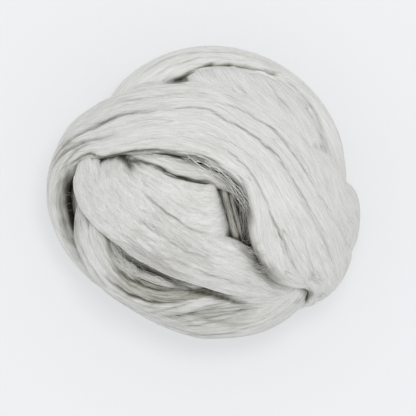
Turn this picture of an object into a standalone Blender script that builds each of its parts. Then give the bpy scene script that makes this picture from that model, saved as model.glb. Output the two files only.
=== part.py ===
"""Wool roving wound loosely into a ball, resting on a small flat spot.

Metres, +Z up, origin at the middle of the flat spot. Every wrap of roving is a
soft flattened band swept over a squashed core, then all are fused to one solid.
"""

import math

import bmesh
import bpy
import numpy as np
from mathutils import Vector

# Core of the ball and how high its middle sits over the flat spot, mm
CORE_X = 61.0
CORE_Y = 56.0
CORE_Z = 44.0
CENTRE_HEIGHT = 60.0

# Lift of the core's own surface, which closes the bottoms of the gaps, mm
CORE_LIFT = 1.0
CORE_SUBDIVISIONS = 5

# A band's section: roundness of its edges, and its side count
SECTION_POWER = 2.3
SECTION_SIDES = 28

# Spacing of the rings along a band, for a crest at the usual lift, mm
PATH_STEP = 4.0
USUAL_LIFT = 15.0

# Grooves between the locks of a band: depth, spacing in mm and shift in radians
LOCK_DEPTH = 0.9
LOCK_WIDTH = 8.0
LOCK_PHASE = 0.9

# Fusing and thinning the mesh
VOXEL_MM = 1.7
TRIANGLES = 11000
SMOOTH_TURNS = 2
SMOOTH_FACTOR = 0.5

# Box that trims the flat spot: width and height, m
TRIM_WIDTH = 0.3
TRIM_HEIGHT = 0.1

WOOL_COLOUR = (0.70, 0.69, 0.66, 1)
WOOL_ROUGHNESS = 0.95

# A row of a wrap is kind, a, b, width, lift, thick, all in mm or degrees.
# kind "top": a is mm east and b is mm north of the middle, on the upper half.
# kind "side": a is the compass angle from east towards north, b the angle up.
# lift is the height of the band's crest over the core, thick its full depth.
WRAPS = {
    # Floor of the deep gap beside the front mass
    "hole_west": (False, (
        ("side", -92, 30, 22, 5, 8),
        ("top", 14, -34, 16, 5, 9),
        ("top", 11, -14, 11, 8, 9),
        ("top", 9, 4, 11, 8, 9),
        ("top", 6, 24, 18, 6, 8),
        ("side", 88, 30, 22, 5, 8),
    )),
    "hole_east": (False, (
        ("side", -78, 30, 26, 4, 8),
        ("top", 24, -32, 22, 4, 9),
        ("top", 21, -12, 18, 5, 9),
        ("top", 20, 6, 18, 5, 9),
        ("top", 18, 26, 22, 5, 8),
        ("side", 72, 30, 26, 5, 8),
    )),
    # Floor of the pocket under the front mass, and the coils that show in it
    "pocket_inner": (False, (
        ("top", -50, -16, 14, 5, 8),
        ("top", -45, -29, 20, 6, 9),
        ("top", -34, -41, 22, 6, 9),
        ("top", -18, -47, 20, 6, 9),
        ("top", 2, -48, 16, 5, 8),
    )),
    "coil_inner": (False, (
        ("top", -52, -14, 7, 5, 7),
        ("top", -49.5, -24, 8, 10, 8),
        ("top", -40.5, -37, 9, 11.5, 8),
        ("top", -30, -43.5, 9, 12, 8),
        ("top", -18.5, -47.5, 8.5, 12, 8),
        ("top", -6, -49.5, 8, 11, 8),
        ("top", 6, -50.5, 8, 7, 8),
    )),
    "coil_outer": (False, (
        ("top", -56, -16, 7, 6, 7),
        ("top", -53, -26, 7, 12, 8),
        ("top", -49, -35, 7.5, 13.5, 8),
        ("top", -43, -42.5, 8, 14, 8),
        ("top", -34.5, -49.5, 8, 14.5, 8),
        ("top", -23, -53.3, 7.5, 14.5, 8),
        ("top", -11, -54, 7, 13.5, 8),
        ("top", 4, -54, 7, 10, 8),
    )),
    # Under-layers that close the gaps between the outer wraps at the sides
    "under_belt": (True, (
        ("side", 0, 4, 56, 11, 14),
        ("side", 45, 8, 56, 11, 14),
        ("side", 90, 8, 56, 10, 14),
        ("side", 125, 8, 56, 6, 12),
        ("side", 160, -8, 46, 5, 12),
        ("side", 190, -14, 40, 6, 12),
        ("side", 225, 0, 56, 8, 12),
        ("side", 270, 4, 56, 11, 14),
        ("side", 315, 6, 56, 13, 14),
    )),
    "under_foot": (False, (
        ("side", 60, 20, 50, 8, 12),
        ("side", 66, -20, 60, 12, 14),
        ("side", 78, -58, 66, 14, 14),
        ("side", 255, -86, 66, 15, 14),
        ("side", 262, -56, 66, 14, 14),
        ("side", 268, -22, 60, 12, 14),
    )),
    # Belt low round the ball, and the wrap that the flat spot is on
    "belt_low": (True, (
        ("side", 0, -32, 48, 17, 16),
        ("side", 45, -24, 48, 16, 16),
        ("side", 90, -23, 50, 18, 16),
        ("side", 135, -32, 50, 15, 16),
        ("side", 180, -42, 50, 17, 16),
        ("side", 225, -40, 50, 16, 16),
        ("side", 270, -30, 50, 18, 16),
        ("side", 315, -30, 50, 18, 16),
    )),
    "cross_low": (False, (
        ("side", 66, 2, 36, 10, 14),
        ("side", 48, -22, 40, 17, 15),
        ("side", 24, -44, 42, 20, 16),
        ("side", -30, -66, 44, 21, 16),
        ("side", -112, -64, 46, 21, 16),
        ("side", -148, -44, 44, 19, 15),
        ("side", -172, -24, 40, 16, 14),
        ("side", 166, -12, 36, 10, 14),
    )),
    "foot": (False, (
        ("side", 150, -30, 50, 10, 14),
        ("side", 160, -58, 62, 18, 16),
        ("side", 200, -88, 70, 21, 18),
        ("side", -20, -60, 62, 18, 16),
        ("side", -26, -30, 50, 10, 14),
    )),
    # Back arch
    "back": (True, (
        ("side", 135, 13.5, 38, 10, 13),
        ("side", 121, 12, 40, 14.5, 14),
        ("side", 108, 10.8, 44, 17.5, 15),
        ("side", 92, 8, 46, 20, 15),
        ("side", 75, 6.3, 44, 21, 15),
        ("side", 58, 3, 40, 20.5, 15),
        ("side", 42, -2, 40, 19.2, 15),
        ("side", 28, -4, 40, 17.6, 15),
        ("side", 12, -8, 38, 15, 14),
        ("side", -8, -16, 38, 14, 13),
        ("side", -30, -24, 38, 14, 12),
        ("side", -60, -36, 38, 12, 12),
        ("side", -95, -44, 38, 11, 12),
        ("side", -130, -40, 38, 10, 12),
        ("side", -165, -24, 38, 10, 12),
        ("side", 170, -4, 38, 8, 12),
        ("side", 152, 8, 38, 8, 12),
    )),
    # Right flank, whose rounded head lies over the end of the fan
    "right": (False, (
        ("top", 52, 31, 12, 10, 9),
        ("top", 60, 19.5, 17, 19, 12),
        ("top", 68, 8, 22, 19.8, 13),
        ("top", 73, -4, 28, 20.3, 13),
        ("side", -10, 12, 32, 22, 14),
        ("side", -17, 6, 33, 23.2, 15),
        ("side", -23, 0, 32, 23, 15),
        ("side", -34, -14, 30, 19, 14),
        ("side", -50, -32, 30, 15, 13),
        ("side", -80, -50, 30, 12, 12),
    )),
    # Three locks at the upper right that fan out from under the back arch
    "fan_1": (False, (
        ("top", -4, 68.5, 14, 6, 9),
        ("top", -0.5, 62, 17, 16, 11),
        ("top", 6, 55.5, 20, 18.5, 12),
        ("top", 18, 46, 20, 19, 12),
        ("top", 30, 35, 18, 16, 12),
    )),
    "fan_2": (False, (
        ("top", 12, 69.5, 20, 6, 9),
        ("top", 14, 64, 26, 17.5, 12),
        ("top", 21, 55.5, 28, 19.5, 13),
        ("top", 33, 43.5, 28, 20, 13),
        ("top", 45, 29, 24, 18.5, 12),
        ("top", 54, 14, 20, 15, 12),
        ("top", 61, -2, 18, 12, 11),
    )),
    "fan_3": (False, (
        ("top", 30, 66, 20, 6, 9),
        ("top", 34, 59, 26, 18, 12),
        ("top", 42, 49.5, 28, 19, 13),
        ("top", 51.5, 37.5, 26, 18.6, 13),
        ("top", 58.5, 24, 22, 17, 12),
        ("top", 63.5, 10, 20, 14, 12),
        ("side", -3, 12, 18, 10, 11),
    )),
    # Lowest front wrap
    "front_low": (False, (
        ("side", 205, -24, 30, 9, 12),
        ("side", 222, -8, 34, 14, 13),
        ("side", 238, 4, 36, 14, 14),
        ("side", 252, 10, 38, 16.5, 14),
        ("side", 266, 13, 40, 20, 15),
        ("side", 280, 13, 40, 21.5, 15),
        ("side", 294, 13, 38, 23, 15),
        ("side", 306, 15, 32, 22, 14),
        ("side", 314, 16, 25, 19.5, 13),
        ("side", 326, 8, 22, 10, 11),
    )),
    # Front-left wrap in two locks, outer and inner
    "front": (False, (
        ("top", -60, 5, 11, 1, 8),
        ("top", -64.5, -7.5, 12, 8.5, 9),
        ("top", -65.5, -19, 17, 14, 11),
        ("top", -61.5, -32, 19, 16.5, 12),
        ("top", -54, -44.5, 18, 17.5, 12),
        ("top", -43, -54, 16, 17.5, 12),
        ("top", -28, -60.5, 14, 17.5, 12),
        ("top", -11, -61.5, 14, 17.5, 12),
        ("top", 8, -60, 14, 17.5, 12),
        ("top", 26, -58.5, 13, 18.5, 12),
        ("top", 40, -57, 12, 19, 11),
        ("side", -47, 20, 12, 15, 10),
        ("side", -38, 12, 12, 9, 9),
    )),
    "front_in": (False, (
        ("top", -51, -2, 10, 1, 8),
        ("top", -56, -12, 10, 9, 9),
        ("top", -57, -21, 12, 14.5, 10),
        ("top", -53, -32, 12, 15.5, 10),
        ("top", -46.5, -43, 11, 15.8, 10),
        ("top", -37, -51.5, 10, 15.8, 10),
        ("top", -25, -56.5, 9, 15.5, 9),
        ("top", -10, -57.5, 9, 15.5, 9),
        ("top", 6, -56.5, 9, 15, 9),
        ("top", 22, -56, 8, 12, 9),
    )),
    # Central front mass, its lower edge lock, and the lobe on its inner side
    "mass": (False, (
        ("side", 150, 34, 30, 4, 10),
        ("top", -49, 20, 34, 10, 12),
        ("top", -49, 8, 38, 16.5, 14),
        ("top", -41, -5, 42, 19, 14),
        ("top", -28.5, -19, 43, 19.6, 14),
        ("top", -13.7, -29.4, 36, 19.8, 14),
        ("top", 1.7, -36, 31.5, 19, 14),
        ("top", 15.5, -40, 28, 18, 13),
        ("top", 26, -44.5, 22, 17.4, 12),
        ("top", 36, -49, 14, 17, 11),
        ("top", 46, -51.8, 10, 18.3, 9),
        ("top", 51, -52.2, 8, 18.3, 8),
        ("top", 54.3, -52.4, 5, 15, 6),
        ("top", 55, -52.6, 2, 4, 5),
    )),
    "mass_edge": (False, (
        ("top", -61, 25, 15, 8, 8),
        ("top", -62, 14.5, 19, 15.5, 10),
        ("top", -61.5, 3, 22, 17, 11),
        ("top", -54, -8.5, 23, 18, 11),
        ("top", -41.5, -18.5, 24, 18.7, 11),
        ("top", -29, -28.5, 22, 18.7, 11),
        ("top", -15, -36.5, 20, 18.2, 11),
        ("top", 0, -43, 17, 17.7, 10),
        ("top", 15, -48.8, 14, 17.2, 10),
        ("top", 32, -52.5, 12, 17, 9),
        ("top", 44, -53.6, 8, 16.5, 8),
        ("top", 52, -54, 5, 12, 6),
    )),
    "inner_lobe": (False, (
        ("top", -44, 15, 16, 12, 10),
        ("top", -33, 8, 18, 17, 12),
        ("top", -22, 0, 23, 20, 13),
        ("top", -10, -7.5, 29, 20.5, 13),
        ("top", -2, -11, 33, 20.2, 13),
        ("top", 4.4, -12, 34, 18.7, 13),
        ("top", 9.4, -11.2, 34, 15.5, 13),
        ("top", 12, -8.4, 32, 4, 12),
    )),
    # Thin lens of a wrap inside the main one
    "lens": (False, (
        ("top", -47, 21, 7, 9, 7),
        ("top", -37, 18.6, 9, 13.5, 8),
        ("top", -25, 16.3, 12, 15, 8),
        ("top", -12, 12.6, 14, 15.5, 8),
        ("top", 0, 9.4, 12, 15, 8),
        ("top", 9, 5.8, 9, 13.5, 7),
        ("top", 16, 2, 6, 12, 6),
        ("top", 23, -4, 5, 9, 6),
    )),
    # Main wrap over the ball, as four locks side by side, inner to outer,
    # whose lower ends curl round the tip of the front mass
    "over_1": (False, (
        ("side", 250, -34, 14, 12, 10),
        ("side", 225, -15, 14, 15, 10),
        ("side", 205, -8, 11.5, 17, 10),
        ("side", 188, 1.5, 10.5, 18.5, 10),
        ("side", 173, 12.5, 10.5, 18.5, 10),
        ("top", -66, 21.5, 11, 17.5, 10),
        ("top", -52, 24.2, 12, 17.5, 10),
        ("top", -38.5, 26.6, 14, 18.5, 11),
        ("top", -20, 28.3, 16, 20, 11),
        ("top", 1, 24.4, 16, 20.5, 11),
        ("top", 15.5, 16, 14.5, 20.5, 11),
        ("top", 25.5, 7, 13.5, 20.5, 11),
        ("top", 31, -6.5, 14.5, 20.5, 11),
        ("top", 33, -20, 16, 20.5, 11),
        ("top", 36.5, -31, 17, 21, 11),
        ("top", 41.5, -40.3, 15.5, 21.8, 11),
        ("top", 49, -45.6, 12, 22.2, 10),
        ("top", 57, -47, 11, 23, 10),
        ("top", 61.5, -51.5, 10.5, 24.2, 10),
        ("top", 58.5, -57.5, 10, 24, 10),
        ("side", -52, 3, 10, 20, 9),
        ("side", -60, -2, 10, 15, 9),
    )),
    "over_2": (False, (
        ("side", 254, -42, 18, 12, 11),
        ("side", 226, -21, 18, 16, 11),
        ("side", 205, -11, 18, 18, 12),
        ("side", 188, -4, 18, 19.5, 12),
        ("side", 172, 6, 18, 20, 12),
        ("side", 160, 17, 18, 18.5, 12),
        ("top", -54.5, 30, 15, 17.5, 12),
        ("top", -39, 34.5, 16, 18.5, 12),
        ("top", -20, 37.3, 15, 20, 12),
        ("top", 2.5, 36, 18, 21, 12),
        ("top", 19.5, 24.8, 18.5, 21.5, 12),
        ("top", 30.8, 14.3, 19, 21.5, 12),
        ("top", 41, -3, 20, 21.5, 12),
        ("top", 48, -16, 21, 22, 12),
        ("top", 54, -28.5, 22, 22.8, 12),
        ("top", 59, -38.5, 21, 23.8, 12),
        ("top", 64, -46, 18, 25, 12),
        ("top", 66, -51.5, 15, 25.6, 12),
        ("side", -43, 3, 13, 24, 12),
        ("side", -51, -4, 13, 20, 11),
        ("side", -61, -12, 14, 14, 11),
    )),
    "over_3": (False, (
        ("side", 250, -50, 20, 11, 11),
        ("side", 222, -32, 20, 14, 12),
        ("side", 203, -23, 21, 17, 12),
        ("side", 188, -16, 22, 18.5, 12),
        ("side", 174, -6, 24, 19, 12),
        ("side", 160, 4, 24, 18.5, 12),
        ("side", 147, 17, 23, 15.5, 12),
        ("top", -40, 46.5, 20, 16, 12),
        ("top", -20, 48.7, 20, 18.5, 12),
        ("top", 2, 47.5, 17, 20, 12),
        ("top", 24.5, 35, 14, 21, 12),
        ("top", 39, 22.8, 13, 21, 12),
        ("top", 52.5, 2.8, 13.5, 21, 12),
        ("top", 61, -10.5, 14, 21.5, 12),
        ("top", 67.5, -21.5, 14.5, 22.5, 12),
        ("top", 71, -32, 16, 23.6, 12),
        ("side", -30, 9, 20, 25.3, 12),
        ("side", -37, 4, 20, 26.3, 12),
        ("side", -43, -3, 20, 23, 12),
        ("side", -52, -12, 20, 18, 12),
        ("side", -64, -22, 20, 13, 11),
    )),
    "over_4": (False, (
        ("side", 143, 26, 10, 11, 9),
        ("top", -34, 53, 12, 15, 9),
        ("top", -17, 54, 12, 17.5, 10),
        ("top", 3, 52.5, 13, 19, 11),
        ("top", 20, 46, 13, 20, 11),
        ("top", 34, 37.8, 12.5, 20.3, 11),
        ("top", 44.5, 28.8, 12.5, 20.3, 11),
        ("top", 54, 17, 13, 20.5, 11),
        ("top", 61.5, 3.5, 11.5, 21, 11),
        ("top", 66, -7, 9, 21.5, 10),
        ("top", 70, -16.5, 8, 22, 10),
        ("top", 73, -26, 8, 22.3, 10),
        ("side", -26, 6, 9, 20, 10),
        ("side", -31, -10, 9, 15, 10),
    )),
}


def unit_from_row(row):
    """Direction on the unit sphere that a row's crest point lies in."""
    kind, a, b, lift = row[0], row[1], row[2], row[4]
    if kind == "side":
        around, up = math.radians(a), math.radians(b)
        level = math.cos(up)
        return np.array((level * math.cos(around), level * math.sin(around), math.sin(up)))
    x = a / (CORE_X + lift)
    y = b / (CORE_Y + lift)
    flat = min(math.hypot(x, y), 0.999)
    scale = flat / math.hypot(x, y)
    return np.array((x * scale, y * scale, math.sqrt(1 - flat * flat)))


def shell_points(units, lifts):
    """Points at these lifts over the core, mm, for unit directions."""
    radii = np.stack((CORE_X + lifts, CORE_Y + lifts, CORE_Z + lifts), axis=-1)
    return units * radii + np.array((0, 0, CENTRE_HEIGHT))


def spline(values, closed, steps):
    """Catmull-Rom through the rows, with so many steps in each span."""
    if closed:
        knots = np.concatenate([values[-1:], values, values[:2]])
    else:
        knots = np.concatenate([values[:1], values, values[-1:]])
    found = []
    for i, count in enumerate(steps):
        p0, p1, p2, p3 = knots[i:i + 4]
        for k in range(count):
            t = k / count
            found.append(0.5 * (2 * p1 + (p2 - p0) * t + (2 * p0 - 5 * p1 + 4 * p2 - p3) * t * t
                                + (3 * p1 - p0 - 3 * p2 + p3) * t ** 3))
    if not closed:
        found.append(values[-1])
    return np.array(found)


def band_frames(rows, closed):
    """Unit directions, side directions, widths, crest lifts and depths along a wrap."""
    units = np.array([unit_from_row(row) for row in rows])
    sizes = np.array([row[3:] for row in rows], float)
    ends = np.roll(units, -1, axis=0) if closed else units[1:]
    starts = units if closed else units[:-1]
    lengths = np.linalg.norm(ends - starts, axis=1) * (CORE_X + USUAL_LIFT)
    steps = [max(2, round(length / PATH_STEP)) for length in lengths]
    along = spline(units, closed, steps)
    along /= np.linalg.norm(along, axis=1, keepdims=True)
    sizes = spline(sizes, closed, steps)
    if closed:
        ahead = np.roll(along, -1, axis=0) - np.roll(along, 1, axis=0)
    else:
        ahead = np.gradient(along, axis=0)
    side = np.cross(along, ahead)
    side /= np.linalg.norm(side, axis=1, keepdims=True)
    return along, side, sizes[:, 0], sizes[:, 1], sizes[:, 2]


def band_mesh(rows, closed):
    """Vertices and faces of a closed band swept along a wrap's rows."""
    along, side, width, lift, thick = band_frames(rows, closed)
    turn = np.linspace(0, 2 * math.pi, SECTION_SIDES, endpoint=False)
    across = np.sign(np.cos(turn)) * np.abs(np.cos(turn)) ** (2 / SECTION_POWER)
    rise = np.sign(np.sin(turn)) * np.abs(np.sin(turn)) ** (2 / SECTION_POWER)
    rings = len(along)
    radii = np.array((CORE_X, CORE_Y, CORE_Z)) + lift[:, None]
    per_radian = np.linalg.norm(side * radii, axis=1)
    angle = across[None, :] * (width / 2 / per_radian)[:, None]
    units = along[:, None] * np.cos(angle)[..., None] + side[:, None] * np.sin(angle)[..., None]
    lifts = lift[:, None] + (rise[None, :] - 1) * thick[:, None] / 2
    locks = np.abs(np.sin(math.pi * across[None, :] * width[:, None] / 2 / LOCK_WIDTH + LOCK_PHASE))
    lifts -= LOCK_DEPTH * (1 - locks) ** 2 * np.clip(rise[None, :], 0, 1)
    points = shell_points(units, lifts).reshape(-1, 3)
    faces = []
    for i in range(rings if closed else rings - 1):
        j = (i + 1) % rings
        for k in range(SECTION_SIDES):
            m = (k + 1) % SECTION_SIDES
            faces.append((i * SECTION_SIDES + k, j * SECTION_SIDES + k,
                          j * SECTION_SIDES + m, i * SECTION_SIDES + m))
    if not closed:
        faces.append(tuple(range(SECTION_SIDES)))
        faces.append(tuple((rings - 1) * SECTION_SIDES + k for k in reversed(range(SECTION_SIDES))))
    return points, faces


def clear_scene():
    for obj in list(bpy.data.objects):
        bpy.data.objects.remove(obj, do_unlink=True)


def new_collection(name):
    made = bpy.data.collections.new(name)
    bpy.context.scene.collection.children.link(made)
    return made


def add_mesh(name, points, faces, collection):
    mesh = bpy.data.meshes.new(name)
    mesh.from_pydata([tuple(p / 1000) for p in points], [], faces)
    mesh.update()
    obj = bpy.data.objects.new(name, mesh)
    collection.objects.link(obj)
    return obj


def add_core(name, collection):
    """The squashed ball that the wraps lie on."""
    work = bmesh.new()
    bmesh.ops.create_icosphere(work, subdivisions=CORE_SUBDIVISIONS, radius=1.0)
    units = np.array([tuple(vert.co) for vert in work.verts])
    for vert, point in zip(work.verts, shell_points(units, np.full(len(units), CORE_LIFT))):
        vert.co = Vector(point / 1000)
    mesh = bpy.data.meshes.new(name)
    work.to_mesh(mesh)
    work.free()
    obj = bpy.data.objects.new(name, mesh)
    collection.objects.link(obj)
    return obj


def evaluated_copy(obj, name, collection):
    graph = bpy.context.evaluated_depsgraph_get()
    mesh = bpy.data.meshes.new_from_object(obj.evaluated_get(graph))
    made = bpy.data.objects.new(name, mesh)
    collection.objects.link(made)
    return made


def keep_outer_body(obj):
    """Leaves only the largest connected surface, so no hollow stays inside."""
    work = bmesh.new()
    work.from_mesh(obj.data)
    unseen = set(work.verts)
    bodies = []
    while unseen:
        queue = [unseen.pop()]
        body = set(queue)
        while queue:
            for edge in queue.pop().link_edges:
                for vert in edge.verts:
                    if vert in unseen:
                        unseen.discard(vert)
                        body.add(vert)
                        queue.append(vert)
        bodies.append(body)
    bodies.sort(key=len)
    for body in bodies[:-1]:
        bmesh.ops.delete(work, geom=list(body), context="VERTS")
    work.to_mesh(obj.data)
    work.free()


def join_meshes(objects, name, collection):
    """One object holding copies of all these meshes."""
    work = bmesh.new()
    for obj in objects:
        work.from_mesh(obj.data)
    mesh = bpy.data.meshes.new(name)
    work.to_mesh(mesh)
    work.free()
    made = bpy.data.objects.new(name, mesh)
    collection.objects.link(made)
    for obj in objects:
        bpy.data.objects.remove(obj, do_unlink=True)
    return made


def add_material(obj):
    """Undyed wool, pale warm grey and fully rough."""
    material = bpy.data.materials.new("wool")
    material.use_nodes = True
    shader = material.node_tree.nodes["Principled BSDF"]
    shader.inputs["Base Color"].default_value = WOOL_COLOUR
    shader.inputs["Roughness"].default_value = WOOL_ROUGHNESS
    obj.data.materials.clear()
    obj.data.materials.append(material)


def add_table_cutter(collection):
    """Box under z = 0 that trims the flat spot."""
    bpy.ops.mesh.primitive_cube_add(size=1, location=(0, 0, -TRIM_HEIGHT / 2))
    box = bpy.context.object
    box.name = "table_cutter"
    box.scale = (TRIM_WIDTH, TRIM_WIDTH, TRIM_HEIGHT)
    for other in list(box.users_collection):
        other.objects.unlink(box)
    collection.objects.link(box)
    box.hide_render = True
    box.display_type = "WIRE"
    return box


def build():
    clear_scene()
    parts = new_collection("roving_ball")
    cutters = new_collection("cutters")
    pieces = [add_core("core", parts)]
    for name, (closed, rows) in WRAPS.items():
        points, faces = band_mesh(rows, closed)
        pieces.append(add_mesh(name, points, faces, parts))
    joined = join_meshes(pieces, "joined", parts)
    fuse = joined.modifiers.new("fuse", "REMESH")
    fuse.mode = "VOXEL"
    fuse.voxel_size = VOXEL_MM / 1000
    ball = evaluated_copy(joined, "roving_ball", parts)
    bpy.data.objects.remove(joined, do_unlink=True)
    keep_outer_body(ball)
    soften = ball.modifiers.new("soften", "SMOOTH")
    soften.iterations = SMOOTH_TURNS
    soften.factor = SMOOTH_FACTOR
    triangles = 2 * len(ball.data.polygons)
    thin = ball.modifiers.new("thin", "DECIMATE")
    thin.ratio = TRIANGLES / triangles
    flat = ball.modifiers.new("flat_spot", "BOOLEAN")
    flat.operation = "DIFFERENCE"
    flat.solver = "EXACT"
    flat.object = add_table_cutter(cutters)
    ball.data.shade_smooth()
    add_material(ball)


build()
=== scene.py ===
"""Wool roving ball, seen from straight above as in the photograph.

Every wrap is swept again over the same path as in the solid, as a much finer
band with its locks, splits and combed fibres, and loose fibres are laid on it.
"""

import math

import bpy
import numpy as np
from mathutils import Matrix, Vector


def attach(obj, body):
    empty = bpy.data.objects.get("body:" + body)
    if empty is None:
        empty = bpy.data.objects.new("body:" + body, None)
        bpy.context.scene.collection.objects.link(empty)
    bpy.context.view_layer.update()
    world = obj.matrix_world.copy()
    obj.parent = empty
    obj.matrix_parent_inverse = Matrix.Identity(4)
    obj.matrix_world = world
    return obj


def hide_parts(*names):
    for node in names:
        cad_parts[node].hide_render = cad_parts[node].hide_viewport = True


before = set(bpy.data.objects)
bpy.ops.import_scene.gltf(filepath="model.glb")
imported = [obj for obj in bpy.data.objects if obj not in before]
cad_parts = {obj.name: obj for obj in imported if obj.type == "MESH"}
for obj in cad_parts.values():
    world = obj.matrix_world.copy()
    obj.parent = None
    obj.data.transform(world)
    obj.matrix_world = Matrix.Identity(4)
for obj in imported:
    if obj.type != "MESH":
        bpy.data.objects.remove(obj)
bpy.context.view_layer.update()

# Half sizes of the core, the ball's middle over the flat spot, its outer radius, and
# the least height of the looks, mm
CORE = np.array((61.0, 56.0, 44.0))
CENTRE = np.array((0.0, 0.0, 60.0))
OUTER_RADIUS = 76.0
FLOOR_GAP = 0.3

# Mesh of a wrap: mm between rings, further apart on spans whose mean height on the
# unit sphere is under LOW_SPAN, points round the underside, and how far and over how
# many mm it sways
RING_STEP = 2.5
LOW_RING_STEP = 4.5
LOW_SPAN = -0.15
UNDER_POINTS = 7
SWAY = 0.5
SWAY_SPAN = 26

# Noises that raise and lower a wrap's surface: mm along the fibres, mm across them
RELIEF = {
    "sway": (70, 16),
    "drift": (26, 6),
    "swell": (38, 12),
    "lock": (85, 6.5),
    "lock_place": (60, 14),
    "streak": (45, 2.3),
    "streak_place": (34, 9),
    "split": (100, 9),
    "split_place": (46, 11),
    "lump": (11, 5),
    "small_lump": (5, 1.8),
}

# Splits: the height they stay above, points in each span, how far they wander, and the
# mm over which they wander and are uneven
SPLITS_ABOVE = 58.0
SPLIT_STOPS = 5
WANDER = 0.6
WANDER_SPAN = 5
UNEVEN_SPAN = 7

# Cells of space round the ball, the depth of wool that fills them, and half the plan, mm
CELL = 1.25
CELLS_FROM = np.array((-100.0, -95.0, -14.0))
CELLS_SIZE = np.array((200.0, 190.0, 160.0))
WOOL_DEPTH = (0.6, 14)
PLAN_HALF = 100
# Painted shade of near and far hollows: (reach, share of wool around where it starts,
# where it is full, how dark it paints)
SHADE_HOLLOWS = ((1.9, 0.52, 0.86, 0.95), (4.6, 0.58, 0.84, 0.85))

# Loose fibres: points along one on a wrap and along a stray one, and in mm their
# length, their radius and how far the loosest stand off
FIBRE_STOPS = 9
STRAY_STOPS = 22
FIBRE_SIDES = 3
FIBRE_LENGTH = (14, 46)
FIBRE_RADIUS = (0.045, 0.1)
FIBRE_OFF = (0.4, 1.5)
SEED = 7

# Wool, as linear red, green and blue: painted shade turns it tan and then near black down the hollows
LIGHT = (0.7, 0.7, 0.692)
DARK = (0.618, 0.615, 0.604)
SHADE_TAN = (0.99, 0.99, 0.9)
SHADE_DEEP = (0.04, 0.035, 0.027)
# name: (light, dark, how felted, tinge of painted shade that sets in from west to east over the span below,
# m)
WOOLS = {
    "combed_wool": (LIGHT, DARK, 0.0, None),
    "felted_wool": (LIGHT, DARK, 0.8, None),
    # A darker copy of the wool for the deep inner wraps and the core: painted shade
    "shaded_inner_wool": ((0.6, 0.59, 0.55), (0.43, 0.42, 0.38), 0.3, None),
    "pale_wool": ((0.76, 0.76, 0.75), (0.672, 0.669, 0.657), 0.0, None),
    # Painted shade that grows darker and browner towards the east
    "shaded_wool": (LIGHT, DARK, 0.5, (0.66, 0.655, 0.585)),
    # A lighter copy of the wool for loose fibres: painted light, so the thin tubes look lit
    "lit_loose_fibre": ((0.88, 0.875, 0.86), (0.78, 0.775, 0.755), 0.0, None),
}
SHADE_TINT_SPAN = (-0.057, -0.018)
BALL_MIDDLE = Vector(CENTRE / 1000)


def side(around, up, width, lift, thick):
    """A row of a wrap, whose crest lies this way in degrees: unit direction and sizes in mm."""
    around, up = math.radians(around), math.radians(up)
    level = math.cos(up)
    return level * math.cos(around), level * math.sin(around), math.sin(up), width, lift, thick


def top(east, north, width, lift, thick):
    """A row of a wrap, whose crest lies over this place in mm: unit direction and sizes in mm."""
    x, y = east / (CORE[0] + lift), north / (CORE[1] + lift)
    away = math.hypot(x, y)
    flat = min(away, 0.999)
    return x * (flat / away), y * (flat / away), math.sqrt(1 - flat * flat), width, lift, thick


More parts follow.
